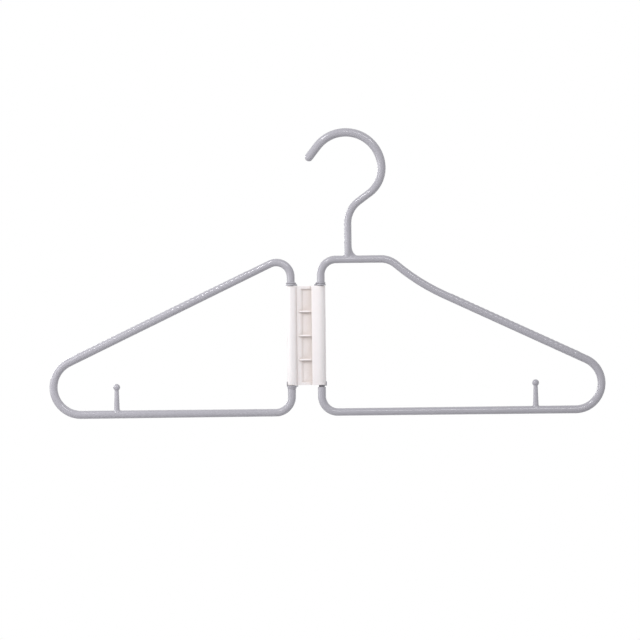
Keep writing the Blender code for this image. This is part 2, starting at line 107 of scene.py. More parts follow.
# Hook wing
HOOK_END_REACH = 0.1901
HOOK_END_BEND = 0.0197
HOOK_TOP_RISE = 0.0568
HOOK_TOP_BEND = 0.0114
HOOK_BOTTOM_BEND = 0.0120
HOOK_ARM_SLOPE = math.radians(25.05)
SHOULDER_REACH = 0.0517
SHOULDER_BEND = 0.0175
SHOULDER_SLOPE = math.radians(40.7)
HOOK_OUTER_BAR_RADIUS = 0.0030
HOOK_PEG_REACH = 0.1603
HOOK_BEAD_LEAD = 0.0010

# Hook
STEM_REACH = 0.0207
STEM_RADIUS = 0.0028
STEM_HEIGHT = 0.0269
STEM_BEND = 0.0206
STEM_LEAN = math.radians(53.6)
LEAN_LENGTH = 0.0101
BLEND_BEND = 0.0228
BLEND_TURN = math.radians(46.5)
HOOK_BEND = 0.0269
HOOK_TURN = math.radians(149.3)
HOOK_TIP_LENGTH = 0.0100
CROWN_RADIUS = 0.0032
ROOT_FILLET_REACH = 0.0047
ROOT_FILLET_HEIGHT = 0.0072
ROOT_HEEL_REACH = 0.0013
ROOT_HEEL_HEIGHT = 0.0021

# Grip beads along the upper side of both arms
BEAD_PITCH = 0.0041
BEAD_HEIGHT = 0.00022
BEAD_TAIL = 0.0065
BEAD_ROUNDNESS = 2.0
BEAD_WRAP = 0.7

# Strap pegs on the bottom bars
PEG_HEIGHT = 0.0199
PEG_BALL_RADIUS = 0.0026
PEG_NECK_RADIUS = 0.0016
PEG_FOOT_RADIUS = 0.0021
PEG_FILLET = 0.0010

# Fineness
BAR_SIDES = 48
SLEEVE_STEP = math.radians(3)
BEND_STEP = math.radians(3)
HEADING_DECIMALS = 6
STRAIGHT_STEP = 0.004
SAME_PLACE = 0.000003
BEAD_STEPS = 8
CAP_STEPS = 10
FILLET_STEPS = 14
FILLET_SINK = 0.00004
FILLET_COVER_SHARE = 0.97
CIRCLE_HANDLE_SHARE = 0.5523
OVERRUN = 0.0010
EDGE_SEGMENTS = 3
EDGE_ANGLE = math.radians(30)
SMOOTH_ANGLE = math.radians(38)

# Plastics. A tone varies by a share of itself and roughness between two values. The glow is the
# share of light that passes under the surface, with its reach and tint. Grooves, gaps and
# recesses get painted shade: a deeper tone, full at the first openness and gone at the second.
GREY_LOOK = {
    "tone": (0.43, 0.42, 0.465),
    "variation": 0.015,
    "roughness": (0.15, 0.20),
    "glow": 0.10,
    "glow_reach": 0.0012,
    "glow_tint": (1.0, 0.95, 1.0),
    # Painted shade in the collars' grooves, the neck's gap and other tight corners
    "painted_shade_reach": 0.0032,
    "painted_shade_openness": (0.45, 0.90),
    "painted_shade_tone": (0.22, 0.21, 0.225),
}
WHITE_LOOK = {
    "tone": (0.94, 0.887, 0.90),
    "variation": 0.008,
    "roughness": (0.30, 0.38),
    "glow": 0.30,
    "glow_reach": 0.0014,
    "glow_tint": (1.0, 0.92, 0.90),
    # Painted shade, slightly warm, in the block's pockets and creases
    "painted_shade_reach": 0.010,
    "painted_shade_openness": (0.80, 0.995),
    "painted_shade_tone": (0.765, 0.745, 0.71),
}
PLASTIC_IOR = 1.49
# Samples of the occlusion that places the painted shade
PAINTED_SHADE_SAMPLES = 12
WHITE = (1.0, 1.0, 1.0)

# Unevenness of both plastics: scales in features per metre, and the part of a noise's range
# over which a tone or the roughness changes
CLOUD_SCALE = 38.0
CLOUD_DETAIL = 3.0
MOTTLE_SCALE = 450.0
MOTTLE_DETAIL = 2.0
TONE_SPAN = (0.35, 0.65)
GLOSS_SCALE = 120.0
GLOSS_DETAIL = 2.0
GLOSS_SPAN = (0.3, 0.7)
RIPPLE_SCALE = 260.0
RIPPLE_DETAIL = 1.0
RIPPLE_STRENGTH = 0.07
RIPPLE_DEPTH = 0.000008

# Photograph: scale, roll and the middle of the picture measured from the hinge's centre
PICTURE_WIDTH = 0.480
PICTURE_ROLL = math.radians(0.65)
PICTURE_OFFSET_X = 0.010407
PICTURE_OFFSET_Z = 0.011507
CAMERA_DISTANCE = 1.60
CLIP_START = 0.016
CLIP_END = 16.0
SENSOR_WIDTH_MM = 36.0

# Lights: name, direction from the middle of the picture, distance, width, height and watts
LIGHTS = (
    ("side", (-1.0, -0.15, 0.0), 1.3, 0.6, 0.6, 3.2),
    ("near_side", (-0.75, -0.55, 0.30), 0.6, 0.3, 0.3, 0.95),
    ("upper_left", (-0.36, -0.58, 0.72), 1.3, 0.20, 0.20, 4.6),
    ("upper_right", (0.24, -0.80, 0.55), 1.3, 0.65, 0.20, 3.7),
    ("back", (-0.75, 1.0, 0.30), 1.3, 0.5, 0.5, 4.0),
    ("rim_right", (0.90, 0.45, 0.0), 1.3, 0.4, 0.4, 0.5),
)
WORLD_FILL = 0.41

# Floor, below the picture
FLOOR_DROP = 0.33
FLOOR_SIZE = 0.80
FLOOR_TONE = (0.88, 0.88, 0.88)
FLOOR_ROUGHNESS = 0.9
FLOOR_LIFT = 0.28

BACK = Vector((0.0, 1.0, 0.0))
RIGHT = Vector((1.0, 0.0, 0.0))
UP = Vector((0.0, 0.0, 1.0))


def heading_vector(heading):
    """Unit direction in the hanger's plane, measured from +X towards +Z."""
    return Vector((math.cos(heading), 0.0, math.sin(heading)))


def right_of(heading):
    """Unit direction to the right of a line of travel, seen from the front."""
    return heading_vector(heading - math.pi / 2)


def bend_headings(start, turn):
    """Headings along a bend: even steps, and one wherever the bar runs level or upright."""
    quarter = math.pi / 2
    low, high = sorted((start, start + turn))
    first = math.floor(round(low / quarter, HEADING_DECIMALS)) + 1
    last = math.ceil(round(high / quarter, HEADING_DECIMALS))
    marks = [low] + [quarter * count for count in range(first, last)] + [high]
    headings = [low]
    for near, far in zip(marks, marks[1:]):
        steps = math.ceil((far - near) / BEND_STEP)
        headings += [near + (far - near) * step / steps for step in range(1, steps + 1)]
    if turn < 0:
        headings.reverse()
    return headings[1:]


class Route:
    """A bar's centreline as straights and bends: each stop is a point and a heading."""

    def __init__(self, start, heading):
        self.point = start.copy()
        self.heading = heading
        self.stops = [(start.copy(), heading)]

    def straight(self, length):
        steps = max(1, math.ceil(length / STRAIGHT_STEP))
        start = self.point
        for step in range(1, steps + 1):
            self.point = start + heading_vector(self.heading) * length * step / steps
            self.stops.append((self.point.copy(), self.heading))

    def bend(self, radius, turn):
        """Turn left by a positive angle or right by a negative one."""
        side = math.copysign(1.0, turn)
        centre = self.point - right_of(self.heading) * radius * side
        for heading in bend_headings(self.heading, turn):
            self.point = centre + right_of(heading) * radius * side
            self.stops.append((self.point.copy(), heading))
        self.heading += turn


def fillet_length(radius, turn):
    """How far a bend of this turn cuts back each side of its corner."""
    return radius * math.tan(abs(turn) / 2)


def side_angles():
    """Angle of each corner of a bar section, from its outward side."""
    return [2 * math.pi * side / BAR_SIDES for side in range(BAR_SIDES)]


def round_ring(radius):
    """Reach of a round section, with the mould's parting ridge on its two sides."""
    reaches = [radius - PARTING_RIDGE] * BAR_SIDES
    reaches[0] = radius
    reaches[BAR_SIDES // 2] = radius
    return reaches


def teardrop_ring(radius, tip):
    """Reach of a collar section: round, with an ear on the side of the hinge block."""
    half_angle = math.acos(radius / (radius + tip))
    reaches = []
    for angle in side_angles():
        away = math.hypot(math.remainder(angle, 2 * math.pi), EAR_ROUNDING)
        in_ear = away < half_angle
        reaches.append(radius / math.cos(half_angle - away) if in_ear else radius)
    return reaches


def beaded_ring(radius, height):
    """Reach of a bar section that is raised over its outer side."""
    raised = [height * max(math.cos(angle), 0.0) ** BEAD_WRAP for angle in side_angles()]
    return [reach + rise for reach, rise in zip(round_ring(radius), raised)]


def ring_at(point, outward, depth, reaches):
    """Corner points of one section, counted from the outward side towards depth."""
    return [point + (outward * math.cos(angle) + depth * math.sin(angle)) * reach
            for angle, reach in zip(side_angles(), reaches)]


def bar_rings(stops, radius_at):
    """Round sections of a bar at each stop of its route."""
    return [ring_at(point, right_of(heading), BACK, round_ring(radius_at(point)))
            for point, heading in stops]


def loft(rings, closed):
    """Skin a row of sections into one body, as a closed loop or with capped ends.

    A section that lies on the one before it is left out.
    """
    bm = bmesh.new()
    loops = []
    for ring in rings:
        if loops and all((vert.co - corner).length < SAME_PLACE
                         for vert, corner in zip(loops[-1], ring)):
            continue
        loops.append([bm.verts.new(corner) for corner in ring])
    pairs = list(zip(loops, loops[1:]))
    if closed:
        pairs.append((loops[-1], loops[0]))
    else:
        bm.faces.new(loops[0])
        bm.faces.new(reversed(loops[-1]))
    for near, far in pairs:
        for side in range(len(near)):
            following = (side + 1) % len(near)
            bm.faces.new((near[side], far[side], far[following], near[following]))
    bmesh.ops.recalc_face_normals(bm, faces=bm.faces)
    return bm


def prism(outline, bottom, top):
    """Extrude an outline of X, Y points between two heights."""
    bm = bmesh.new()
    base = bm.faces.new([bm.verts.new((x, y, bottom)) for x, y in outline])
    extruded = bmesh.ops.extrude_face_region(bm, geom=[base])
    raised = [item for item in extruded["geom"] if isinstance(item, bmesh.types.BMVert)]
    bmesh.ops.translate(bm, verts=raised, vec=UP * (top - bottom))
    bmesh.ops.recalc_face_normals(bm, faces=bm.faces)
    return bm


def rectangle(one_x, other_x, front_y, back_y):
    """Outline of a rectangle in X and Y, between two sides in either order."""
    left = min(one_x, other_x)
    right = max(one_x, other_x)
    return [(left, front_y), (right, front_y), (right, back_y), (left, back_y)]


def arc(centre_x, half_width, half_depth, start, end):
    """Points in X and Y on a round or oval arc, centred in the plane of the bars."""
    steps = math.ceil((end - start) / SLEEVE_STEP)
    angles = [start + (end - start) * step / steps for step in range(steps + 1)]
    return [(centre_x + half_width * math.cos(a), half_depth * math.sin(a)) for a in angles]


def joined(bodies):
    """Put several separate bodies into one bmesh."""
    result = bmesh.new()
    for bm in bodies:
        mesh = bpy.data.meshes.new("body")
        bm.to_mesh(mesh)
        bm.free()
        result.from_mesh(mesh)
        bpy.data.meshes.remove(mesh)
    return result


def make_object(name, bm):
    """Turn a bmesh into an object at the world origin."""
    mesh = bpy.data.meshes.new(name)
    bm.to_mesh(mesh)
    bm.free()
    made = bpy.data.objects.new(name, mesh)
    bpy.context.scene.collection.objects.link(made)
    return made


def bake_modifiers(piece):
    """Replace a piece's mesh by the result of its modifiers."""
    depsgraph = bpy.context.evaluated_depsgraph_get()
    result = bpy.data.meshes.new_from_object(piece.evaluated_get(depsgraph))
    piece.modifiers.clear()
    spent = piece.data
    piece.data = result
    result.name = piece.name
    bpy.data.meshes.remove(spent)


def combine(base, operation, *tools):
    """Join or cut a body with each tool in turn, and keep only the result."""
    for bm in tools:
        tool = make_object("tool", bm)
        modifier = base.modifiers.new(operation.title(), "BOOLEAN")
        modifier.operation = operation
        modifier.solver = "EXACT"
        modifier.object = tool
        bake_modifiers(base)
        bpy.data.objects.remove(tool)


def round_edges(piece, radius, angle):
    """Round off every edge of a piece that is sharper than an angle."""
    bevel = piece.modifiers.new("Rounding", "BEVEL")
    bevel.width = radius
    bevel.segments = EDGE_SEGMENTS
    bevel.limit_method = "ANGLE"
    bevel.angle_limit = angle
    bevel.miter_outer = "MITER_ARC"
    bake_modifiers(piece)


def lead_to_bowl(route):
    """Take the hook's centreline from the top of its stem to the start of its bowl."""
    route.bend(STEM_BEND, -STEM_LEAN)
    route.straight(LEAN_LENGTH)
    route.bend(BLEND_BEND, BLEND_TURN)


def bowl_centre():
    """Centre of the hook's round bowl, measured from the foot of its stem."""
    route = Route(UP * STEM_HEIGHT, math.pi / 2)
    lead_to_bowl(route)
    return route.point - right_of(route.heading) * HOOK_BEND


# Places that follow from the sizes above, counted from the point under the crown
STEM_FOOT = -(bowl_centre() + UP * (HOOK_BEND - CROWN_RADIUS))
HOOK_ROD_X = STEM_FOOT.x - STEM_REACH
PLAIN_ROD_X = HOOK_ROD_X - ROD_SPACING
HINGE_X = (HOOK_ROD_X + PLAIN_ROD_X) / 2
HINGE_Z = STEM_FOOT.z - HOOK_TOP_RISE
HINGE_TOP = HINGE_Z + HINGE_HEIGHT / 2
HINGE_BOTTOM = HINGE_Z - HINGE_HEIGHT / 2
BOTTOM_Z = HINGE_Z - BOTTOM_DROP
BORE_RADIUS = SPINDLE_RADIUS + RUNNING_CLEARANCE
SLEEVE_RADIUS = BORE_RADIUS + SLEEVE_WALL
COLLAR_RADIUS = SLEEVE_RADIUS + COLLAR_LIP
UPPER_COLLAR_FACE = HINGE_TOP + RUNNING_CLEARANCE
LOWER_COLLAR_FACE = HINGE_BOTTOM - RUNNING_CLEARANCE
PICTURE_CENTRE = Vector((HINGE_X + PICTURE_OFFSET_X, 0.0, HINGE_Z + PICTURE_OFFSET_Z))


def collar_sections(face_z, height, shares):
    """Sections from a spindle's end through a collar and its ear to the full rod."""
    sections = [(face_z, round_ring(SPINDLE_RADIUS))]
    for height_share, swell_share, tip_share in shares:
        radius = ROD_RADIUS + (COLLAR_RADIUS - ROD_RADIUS) * swell_share
        sections.append((face_z + height * height_share,
                         teardrop_ring(radius, COLLAR_TIP * tip_share)))
    return sections


def upper_collar():
    """Sections of the collar above the hinge block: a flange, a groove and a ring."""
    shares = zip(UPPER_HEIGHT_SHARES, UPPER_SWELL_SHARES, UPPER_TIP_SHARES)
    return collar_sections(UPPER_COLLAR_FACE, COLLAR_HEIGHT, shares)


def lower_collar():
    """Sections of the collar below the hinge block: a thin flange and a taller ring."""
    shares = zip(LOWER_HEIGHT_SHARES, LOWER_SWELL_SHARES, LOWER_TIP_SHARES)
    return collar_sections(LOWER_COLLAR_FACE, -COLLAR_HEIGHT, shares)


def neck_sections():
    """Sections from a spindle's lower end, past a short open neck, to the full rod."""
    top = LOWER_COLLAR_FACE - NECK_GAP
    sections = [(top, round_ring(SPINDLE_RADIUS))]
    for step in range(NECK_ROUND_STEPS + 1):
        angle = math.pi / 2 * step / NECK_ROUND_STEPS
        sections.append((top - NECK_EDGE * (1 - math.cos(angle)),
                         round_ring(ROD_RADIUS - NECK_EDGE * (1 - math.sin(angle)))))
    return sections


def rod_rings(rod_x, heading, lower):
    """Sections along a wing's rod: its lower end, the spindle and the upper collar."""
    sections = lower[::-1] + upper_collar()
    if heading < 0:
        sections.reverse()
    return [ring_at(Vector((rod_x, 0.0, z)), right_of(heading), BACK, reaches)
            for z, reaches in sections]


def lug(rod_x, side):
    """Stop lug on the outer side of a spindle's lower end."""
    outline = rectangle(rod_x + side * SPINDLE_RADIUS / 2, rod_x + side * COLLAR_RADIUS,
                        -LUG_WIDTH / 2, LUG_WIDTH / 2)
    return prism(outline, LOWER_COLLAR_FACE - RUNNING_CLEARANCE, HINGE_BOTTOM + LUG_HEIGHT)


def arm_rings(start, heading, length, lead, radius_at):
    """Sections along an arm, from its inner end outwards: beads, then a plain tail."""
    count = int((length - lead - BEAD_TAIL) / BEAD_PITCH)
    first = length - BEAD_TAIL - count * BEAD_PITCH
    outer_side = UP - heading_vector(heading) * math.sin(heading)
    outer_side.normalize()
    sections = []
    for bead in range(count):
        for step in range(BEAD_STEPS):
            share = step / BEAD_STEPS
            height = BEAD_HEIGHT * (1 - abs(2 * share - 1) ** BEAD_ROUNDNESS)
            point = start + heading_vector(heading) * (first + (bead + share) * BEAD_PITCH)
            sections.append((point, beaded_ring(radius_at(point), height)))
    last = start + heading_vector(heading) * (length - BEAD_TAIL)
    sections.append((last, round_ring(radius_at(last))))
    return [ring_at(point, outer_side, BACK, reaches) for point, reaches in sections]


def wing_radius(rod_x, end_reach, outer_radius):
    """Bar radius: full on the rod, slimmer past its bends, then growing to the outer end."""
    def radius_at(point):
        reach = abs(point.x - rod_x)
        growth = (outer_radius - INNER_BAR_RADIUS) * min(reach / end_reach, 1.0)
        fullness = (ROD_RADIUS - INNER_BAR_RADIUS) * max(1 - reach / ROD_FADE, 0.0)
        return INNER_BAR_RADIUS + growth + fullness
    return radius_at


def plain_wing_rings():
    """Sections round the plain wing: up the rod, out along the arm, back below."""
    radius_at = wing_radius(PLAIN_ROD_X, PLAIN_END_REACH, PLAIN_OUTER_BAR_RADIUS)
    top_turn = math.pi / 2 + PLAIN_ARM_SLOPE
    arm_heading = math.pi + PLAIN_ARM_SLOPE
    end_centre = Vector((PLAIN_ROD_X - PLAIN_END_REACH, 0.0, BOTTOM_Z + PLAIN_END_BEND))
    arm_end = end_centre + right_of(arm_heading) * PLAIN_END_BEND
    corner_gap = (PLAIN_ROD_X - arm_end.x) / math.cos(PLAIN_ARM_SLOPE)
    top_cut = fillet_length(PLAIN_TOP_BEND, top_turn)
    arm_length = corner_gap - top_cut
    arm_start = arm_end - heading_vector(arm_heading) * arm_length
    rod_top = arm_end.z + corner_gap * math.sin(PLAIN_ARM_SLOPE) - top_cut

    top = Route(Vector((PLAIN_ROD_X, 0.0, rod_top)), math.pi / 2)
    top.bend(PLAIN_TOP_BEND, top_turn)
    end = Route(arm_end, arm_heading)
    end.bend(PLAIN_END_BEND, math.pi - PLAIN_ARM_SLOPE)
    end.straight(PLAIN_ROD_X - PLAIN_BOTTOM_BEND - end.point.x)
    end.bend(PLAIN_BOTTOM_BEND, math.pi / 2)
    return (rod_rings(PLAIN_ROD_X, math.pi / 2, lower_collar())
            + bar_rings(top.stops, radius_at)
            + arm_rings(arm_start, arm_heading, arm_length, PLAIN_BEAD_LEAD, radius_at)
            + bar_rings(end.stops, radius_at))


def hook_wing_rings():
    """Sections round the hook wing: down the rod, out below, back along the arm."""
    radius_at = wing_radius(HOOK_ROD_X, HOOK_END_REACH, HOOK_OUTER_BAR_RADIUS)
    arm_heading = math.pi - HOOK_ARM_SLOPE
    end_centre = Vector((HOOK_ROD_X + HOOK_END_REACH, 0.0, BOTTOM_Z + HOOK_END_BEND))
    arm_end = end_centre + right_of(arm_heading) * HOOK_END_BEND
    shoulder = Vector((HOOK_ROD_X + SHOULDER_REACH, 0.0, STEM_FOOT.z))
    run = arm_end.x - shoulder.x
    drop = shoulder.z - arm_end.z
    knee_run = (drop - run * math.tan(HOOK_ARM_SLOPE)) / (
        math.tan(SHOULDER_SLOPE) - math.tan(HOOK_ARM_SLOPE))
    knee = shoulder + Vector((knee_run, 0.0, -knee_run * math.tan(SHOULDER_SLOPE)))
    ease_turn = SHOULDER_SLOPE - HOOK_ARM_SLOPE
    ease_cut = (knee - shoulder).length - fillet_length(SHOULDER_BEND, SHOULDER_SLOPE)
    arm_length = (arm_end - knee).length - ease_cut
    arm_start = arm_end + heading_vector(arm_heading) * arm_length

    bottom = Route(Vector((HOOK_ROD_X, 0.0, BOTTOM_Z + HOOK_BOTTOM_BEND)), -math.pi / 2)
    bottom.bend(HOOK_BOTTOM_BEND, math.pi / 2)
    bottom.straight(end_centre.x - bottom.point.x)
    bottom.bend(HOOK_END_BEND, math.pi - HOOK_ARM_SLOPE)
    top = Route(arm_start, arm_heading)
    top.bend(ease_cut / math.tan(ease_turn / 2), -ease_turn)
    top.bend(SHOULDER_BEND, SHOULDER_SLOPE)
    top.straight(top.point.x - HOOK_ROD_X - HOOK_TOP_BEND)
    top.bend(HOOK_TOP_BEND, math.pi / 2)
    arm = arm_rings(arm_start, -HOOK_ARM_SLOPE, arm_length, HOOK_BEAD_LEAD, radius_at)
    return (rod_rings(HOOK_ROD_X, -math.pi / 2, neck_sections())
            + bar_rings(bottom.stops, radius_at)
            + arm[::-1]
            + bar_rings(top.stops, radius_at))


def foot_rings(foot, bar_radius, post_radius, fillet_at):
    """Sections of an upright post's foot, which flows into the bar below by a fillet.

    fillet_at gives the fillet's reach and height towards each side of the post.
    """
    cover = bar_radius * FILLET_COVER_SHARE
    curves = []
    for angle in side_angles():
        reach, height = fillet_at(angle)
        outward = Vector((math.cos(angle), math.sin(angle), 0.0))
        top = foot + outward * post_radius + UP * (bar_radius + height)
        touch_y = min(post_radius + reach, cover) * math.sin(angle)
        normal = Vector((0.0, touch_y, math.sqrt(bar_radius ** 2 - touch_y ** 2))) / bar_radius
        touch = foot + RIGHT * (post_radius + reach) * math.cos(angle)
        touch = touch + normal * (bar_radius - FILLET_SINK)
        along = (outward - normal * outward.dot(normal)).normalized()
        flat_handle = along * CIRCLE_HANDLE_SHARE * reach
        tall_handle = -UP * CIRCLE_HANDLE_SHARE * (top.z - touch.z)
        curves.append((touch, touch - flat_handle, top + tall_handle, top))
    core = [foot + (corners[0] - foot) / 2 for corners in curves]
    rings = [core]
    for step in range(FILLET_STEPS + 1):
        share = step / FILLET_STEPS
        weights = ((1 - share) ** 3, 3 * share * (1 - share) ** 2,
                   3 * share ** 2 * (1 - share), share ** 3)
        rings.append([sum((point * weight for point, weight in zip(curve, weights)), Vector())
                      for curve in curves])
    return rings


def root_fillet(angle):
    """Reach and height of the fillet at the hook's foot: long on the right, slight on the left."""
    share = ((1 + math.cos(angle)) / 2) ** 2
    return (ROOT_HEEL_REACH + (ROOT_FILLET_REACH - ROOT_HEEL_REACH) * share,
            ROOT_HEEL_HEIGHT + (ROOT_FILLET_HEIGHT - ROOT_HEEL_HEIGHT) * share)


def hook_radius_at(point):
    """Hook radius: slim along its stem, full from the bowl's centre up."""
    growth_start = STEM_FOOT.z + STEM_HEIGHT + STEM_BEND
    growth_end = STEM_FOOT.z + bowl_centre().z
    share = (point.z - growth_start) / (growth_end - growth_start)
    return STEM_RADIUS + (CROWN_RADIUS - STEM_RADIUS) * min(max(share, 0.0), 1.0)


def hook_rings():
    """Sections up the hook, which thickens past its lean and ends in a round tip."""
    root_top = INNER_BAR_RADIUS + ROOT_FILLET_HEIGHT
    route = Route(STEM_FOOT + UP * root_top, math.pi / 2)
    route.straight(STEM_HEIGHT - root_top)
    lead_to_bowl(route)
    route.bend(HOOK_BEND, HOOK_TURN)
    route.straight(HOOK_TIP_LENGTH)
    rings = foot_rings(STEM_FOOT, INNER_BAR_RADIUS, STEM_RADIUS, root_fillet)
    rings += bar_rings(route.stops[1:], hook_radius_at)
    tip, heading = route.stops[-1]
    for step in range(1, CAP_STEPS + 1):
        angle = math.pi / 2 * step / (CAP_STEPS + 1)
        centre = tip + heading_vector(heading) * CROWN_RADIUS * math.sin(angle)
        rings.append(ring_at(centre, right_of(heading), BACK,
                             [CROWN_RADIUS * math.cos(angle)] * BAR_SIDES))
    return rings


def peg_rings(x, bar_radius):
    """Sections of a strap peg: foot fillet, tapered neck and ball."""
    foot = Vector((x, 0.0, BOTTOM_Z))
    ball_centre = bar_radius + PEG_HEIGHT - PEG_BALL_RADIUS
    neck_angle = math.acos(PEG_NECK_RADIUS / PEG_BALL_RADIUS)
    profile = [(ball_centre - PEG_BALL_RADIUS * math.sin(neck_angle), PEG_NECK_RADIUS)]
    steps = 2 * CAP_STEPS
    for step in range(1, steps):
        angle = -neck_angle + (math.pi / 2 + neck_angle) * step / steps
        profile.append((ball_centre + PEG_BALL_RADIUS * math.sin(angle),
                        PEG_BALL_RADIUS * math.cos(angle)))
    rings = foot_rings(foot, bar_radius, PEG_FOOT_RADIUS, lambda angle: (PEG_FILLET, PEG_FILLET))
    for height, radius in profile:
        rings.append(ring_at(foot + UP * height, RIGHT, BACK, [radius] * BAR_SIDES))
    return rings


def make_plain_wing():
    """The wing without a hook: one swept bar with spindle, collars, beads, peg and lug."""
    wing = make_object("plain_wing_moulding", loft(plain_wing_rings(), closed=True))
    peg = peg_rings(PLAIN_ROD_X - PLAIN_PEG_REACH, PLAIN_OUTER_BAR_RADIUS)
    combine(wing, "UNION", loft(peg, closed=False), lug(PLAIN_ROD_X, -1))
    return wing


def make_hook_wing():
    """The wing that carries the hook: one swept bar with the hook, a peg and a lug on it."""
    wing = make_object("hook_wing_moulding", loft(hook_wing_rings(), closed=True))
    peg = peg_rings(HOOK_ROD_X + HOOK_PEG_REACH, HOOK_OUTER_BAR_RADIUS)
    combine(wing, "UNION", loft(hook_rings(), closed=False), loft(peg, closed=False),
            lug(HOOK_ROD_X, 1))
    return wing


def hinge_outline():
    """Section of the hinge block, which has a flat back and a stepped front.

    On the right a broad front runs out over the sleeve. On the left the sleeve's flank
    falls to a low shelf, which falls on slightly to the pockets. They lie between the shelf
    and the broad front's step.
    """
    shelf_angle = math.asin(SHELF_FRONT / SLEEVE_RADIUS)
    back_angle = math.asin(WEB_BACK / SLEEVE_RADIUS)
    step_x = HINGE_X + POCKET_WIDTH / 2
    low_front = SHELF_FRONT - SHELF_FALL
    step = [(HINGE_X - POCKET_WIDTH / 2, -low_front), (step_x, -low_front),
            (step_x + BROAD_DRAFT, -BROAD_FRONT)]
    broad = arc(HOOK_ROD_X - BROAD_INSET, BROAD_INSET + SLEEVE_RADIUS, BROAD_FRONT,
                -math.pi / 2, 0.0)
    right_sleeve = arc(HOOK_ROD_X, SLEEVE_RADIUS, SLEEVE_RADIUS, 0.0, math.pi - back_angle)
    left_sleeve = arc(PLAIN_ROD_X, SLEEVE_RADIUS, SLEEVE_RADIUS, back_angle, 3 * math.pi / 2)
    flank = arc(PLAIN_ROD_X, FLANK_REACH, SLEEVE_RADIUS,
                3 * math.pi / 2, 2 * math.pi - shelf_angle)
    return step + broad + right_sleeve[1:] + left_sleeve + flank[1:]


def keyhole(rod_x):
    """Section of a bore and of the slot behind it that lets the spindle in."""
    half_slot = SLOT_WIDTH / 2
    neck_angle = math.asin(half_slot / BORE_RADIUS)
    bore = arc(rod_x, BORE_RADIUS, BORE_RADIUS,
               math.pi / 2 + neck_angle, 5 * math.pi / 2 - neck_angle)
    lip_y = SLEEVE_RADIUS * math.cos(math.asin(half_slot / SLEEVE_RADIUS)) - SLOT_LEAD_IN
    mouth_y = SLEEVE_RADIUS + OVERRUN
    mouth = half_slot + (mouth_y - lip_y)
    return bore + [(rod_x + half_slot, lip_y), (rod_x + mouth, mouth_y),
                   (rod_x - mouth, mouth_y), (rod_x - half_slot, lip_y)]


def wall_heights():
    """Bottom and top of each wall between the pockets: end wall, ribs and end wall."""
    first_rib = HINGE_Z - RIB_SPACING * (RIB_COUNT - 1) / 2
    walls = [(HINGE_BOTTOM, HINGE_BOTTOM + END_WALL)]
    for index in range(RIB_COUNT):
        centre = first_rib + RIB_SPACING * index
        walls.append((centre - RIB_THICKNESS / 2, centre + RIB_THICKNESS / 2))
    walls.append((HINGE_TOP - END_WALL, HINGE_TOP))
    return walls


def make_hinge_block():
    """The white block: its section, less pockets, bores and notches, and the ribs' crests.

    The pockets' left sides lean. The crests stand proud of the shelf and run out onto it.
    """
    block = make_object("hinge_block_moulding",
                        prism(hinge_outline(), HINGE_BOTTOM, HINGE_TOP))
    walls = wall_heights()
    floor_y = WEB_BACK - POCKET_FLOOR
    right = HINGE_X + POCKET_WIDTH / 2
    left = HINGE_X - POCKET_WIDTH / 2
    above_shelf = -(SHELF_FRONT + OVERRUN)
    opening = [(left, above_shelf), (right, above_shelf), (right, floor_y),
               (left + POCKET_LEAN, floor_y), (left, SHELF_FALL - SHELF_FRONT)]
    pockets = [prism(opening, below[1], above[0]) for below, above in zip(walls, walls[1:])]
    bores = [prism(keyhole(rod_x), HINGE_BOTTOM - OVERRUN, HINGE_TOP + OVERRUN)
             for rod_x in (PLAIN_ROD_X, HOOK_ROD_X)]
    notch_front = -(LUG_WIDTH / 2 + RUNNING_CLEARANCE)
    notches = [prism(rectangle(rod_x, rod_x + side * (SLEEVE_RADIUS + OVERRUN),
                               notch_front, SLEEVE_RADIUS + OVERRUN),
                     HINGE_BOTTOM - OVERRUN, HINGE_BOTTOM + LUG_HEIGHT + RUNNING_CLEARANCE)
               for rod_x, side in ((PLAIN_ROD_X, -1), (HOOK_ROD_X, 1))]
    combine(block, "DIFFERENCE", joined(pockets), joined(bores), joined(notches))
    crest_y = -(SHELF_FRONT + RIB_RISE)
    crest = [(left - RIB_RUN_OUT, floor_y), (left - RIB_RUN_OUT, -SHELF_FRONT),
             (left, crest_y), (right + BROAD_DRAFT, crest_y), (right + BROAD_DRAFT, floor_y)]
    combine(block, "UNION", joined([prism(crest, bottom, top) for bottom, top in walls[1:-1]]))
    round_edges(block, BLOCK_EDGE_RADIUS, EDGE_ANGLE)
    return block


def noise(tree, coordinates, scale, detail):
    """Noise over the piece's own coordinates, with its scale in features per metre."""
    node = tree.nodes.new("ShaderNodeTexNoise")
    node.inputs["Scale"].default_value = scale
    node.inputs["Detail"].default_value = detail
    tree.links.new(coordinates, node.inputs["Vector"])
    return node.outputs["Fac"]


def ramp(tree, factor, span, low, high):
    """Colour that runs from one tone to another as a factor rises through a span."""
    node = tree.nodes.new("ShaderNodeValToRGB")
    for element, position, tone in zip(node.color_ramp.elements, span, (low, high)):
        element.position = position
        element.color = (*tone, 1.0)
    tree.links.new(factor, node.inputs["Fac"])
    return node.outputs["Color"]


def spread(tree, factor, span, values):
    """Value that runs from one number to another as a factor rises through a span."""
    node = tree.nodes.new("ShaderNodeMapRange")
    for socket, value in zip(("From Min", "From Max", "To Min", "To Max"), (*span, *values)):
        node.inputs[socket].default_value = value
    tree.links.new(factor, node.inputs["Value"])
    return node.outputs["Result"]


def multiplied(tree, one, other):
    """Product of two colours."""
    mix = tree.nodes.new("ShaderNodeMix")
    mix.data_type = "RGBA"
    mix.blend_type = "MULTIPLY"
    mix.inputs["Factor"].default_value = 1.0
    tree.links.new(one, mix.inputs["A"])
    tree.links.new(other, mix.inputs["B"])
    return mix.outputs["Result"]


